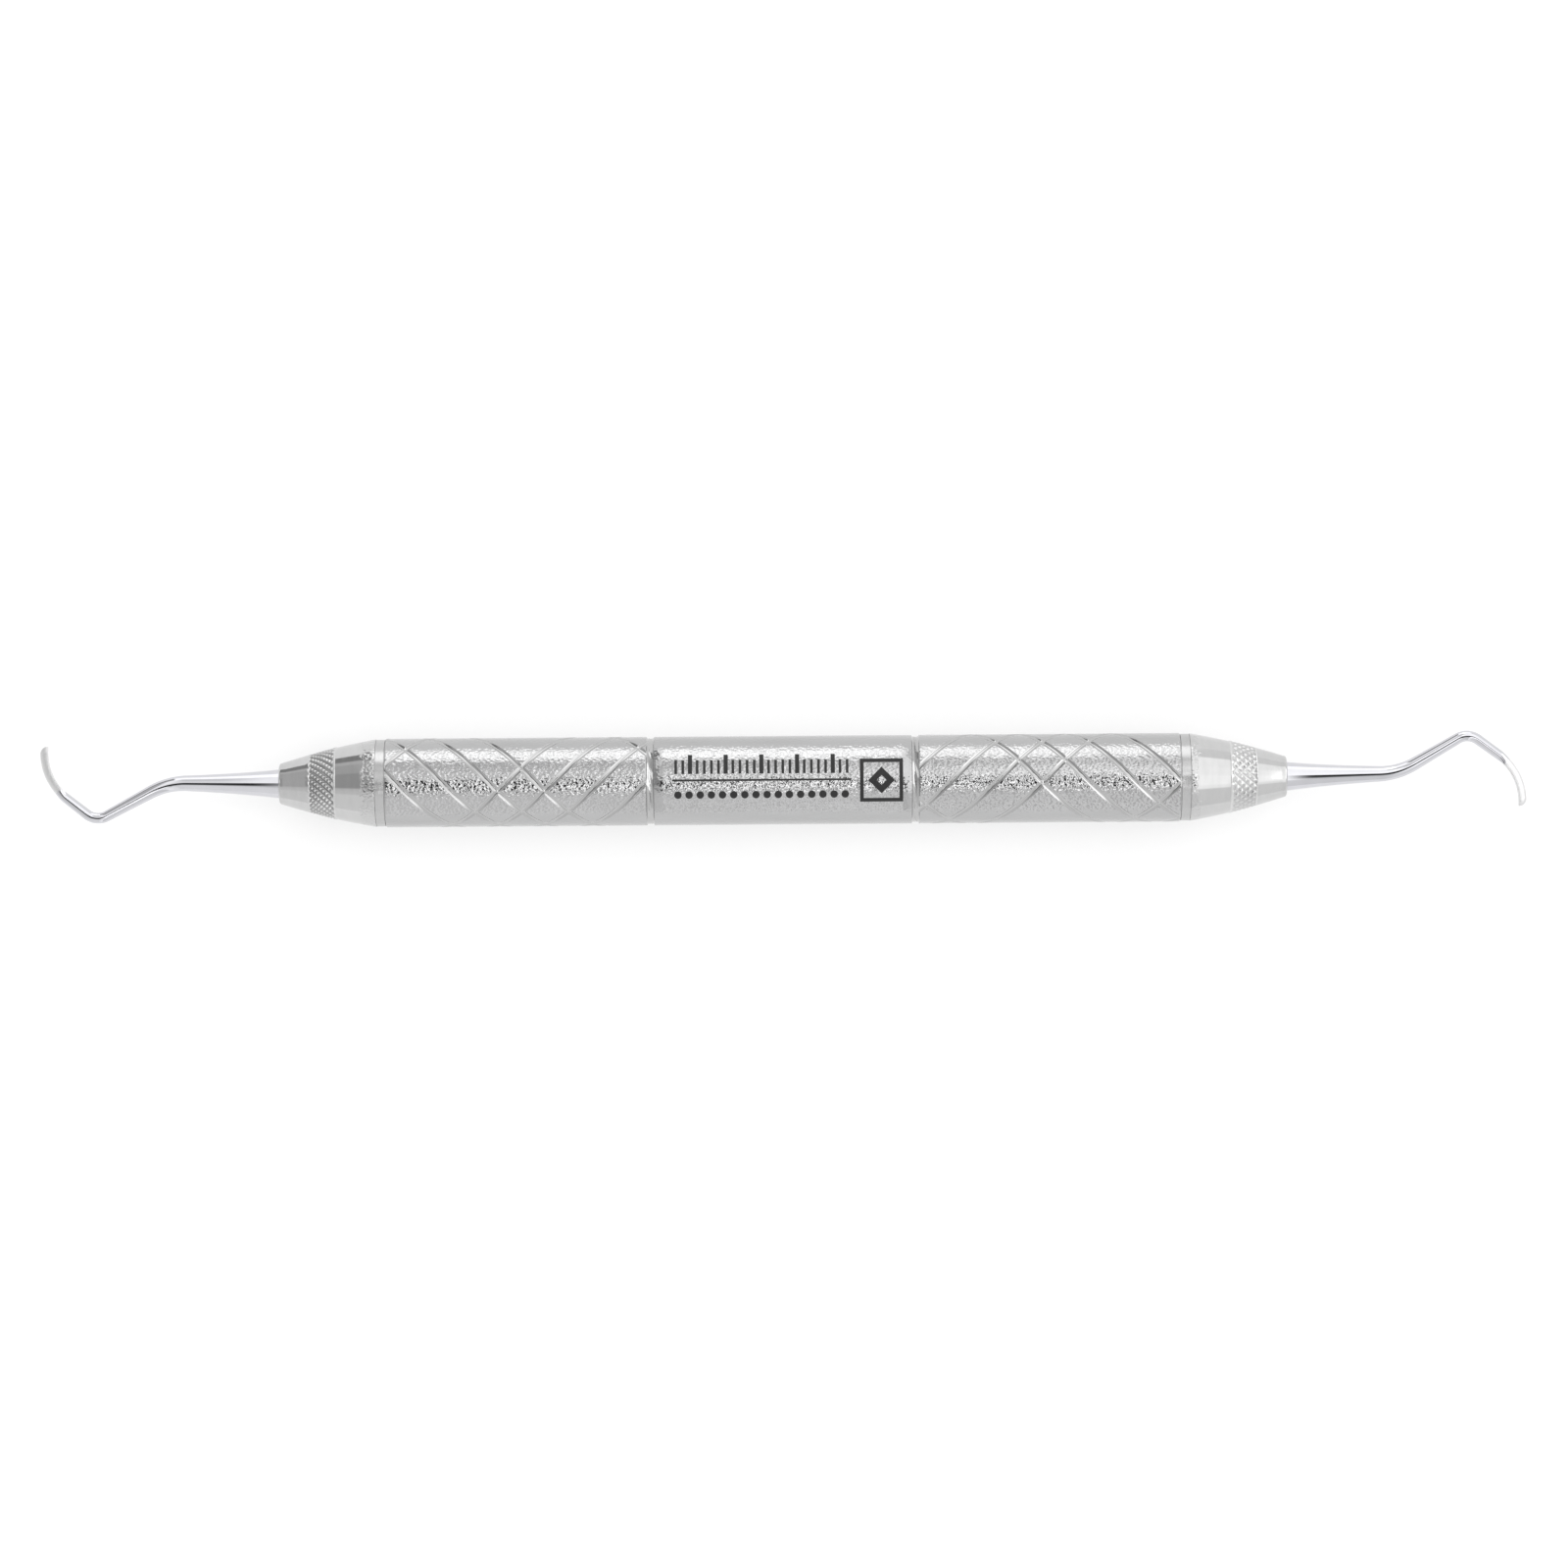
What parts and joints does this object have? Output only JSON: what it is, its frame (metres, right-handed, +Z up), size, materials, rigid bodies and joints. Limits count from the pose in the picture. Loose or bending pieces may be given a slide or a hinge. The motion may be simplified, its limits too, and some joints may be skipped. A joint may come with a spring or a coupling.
{
  "type": "hand scaler",
  "caption": "Slim cylindrical handle with a knurled cone at each end, each carrying a thin bent shank with a curved blade for scraping teeth.",
  "frame": {"origin": "on the surface that the handle rests on, below the middle of the handle", "axes": "+X along the handle, +Z up from the surface, both working ends bend in the level plane through the handle's axis"},
  "size_m": [0.1675, 0.01, 0.01],
  "materials": {
    "textured_steel": "fine hammered satin with criss-cross helical grooves",
    "turned_steel": "fine turned",
    "polished_ring": "polished",
    "seal_rubber": "smooth matt",
    "polished_cone": "polished lathe finish with a knurled band",
    "mirror_steel": "mirror-polished shank, matt ground blade"
  },
  "bodies": {
    "handle": {"handle_tube": "textured_steel", "left_thread_bush": "turned_steel", "right_thread_bush": "turned_steel"},
    "left_ring": {"left_joint_ring": "polished_ring"},
    "left_end": {"left_cone": "polished_cone", "left_o_ring": "seal_rubber", "left_working_end": "mirror_steel"},
    "right_ring": {"right_joint_ring": "polished_ring"},
    "right_end": {"right_cone": "polished_cone", "right_o_ring": "seal_rubber", "right_working_end": "mirror_steel"}
  },
  "joints": [
    {"name": "left_end_travel", "type": "slide", "parent": "handle", "child": "left_ring", "axis": [-1, 0, 0], "range_m": [0, 0.00675]},
    {"name": "left_end_unscrew", "type": "hinge", "parent": "left_ring", "child": "left_end", "pos_m": [-0.0458, 0, 0.005], "axis": [-1, 0, 0], "range_deg": [0, 3240]},
    {"name": "right_end_travel", "type": "slide", "parent": "handle", "child": "right_ring", "axis": [1, 0, 0], "range_m": [0, 0.00675]},
    {"name": "right_end_unscrew", "type": "hinge", "parent": "right_ring", "child": "right_end", "pos_m": [0.0458, 0, 0.005], "axis": [1, 0, 0], "range_deg": [0, 3240]}
  ],
  "couplings": [
    {"joint": "left_end_unscrew", "follows": "left_end_travel", "rad_per_m": 8377.6},
    {"joint": "right_end_unscrew", "follows": "right_end_travel", "rad_per_m": 8377.6}
  ]
}
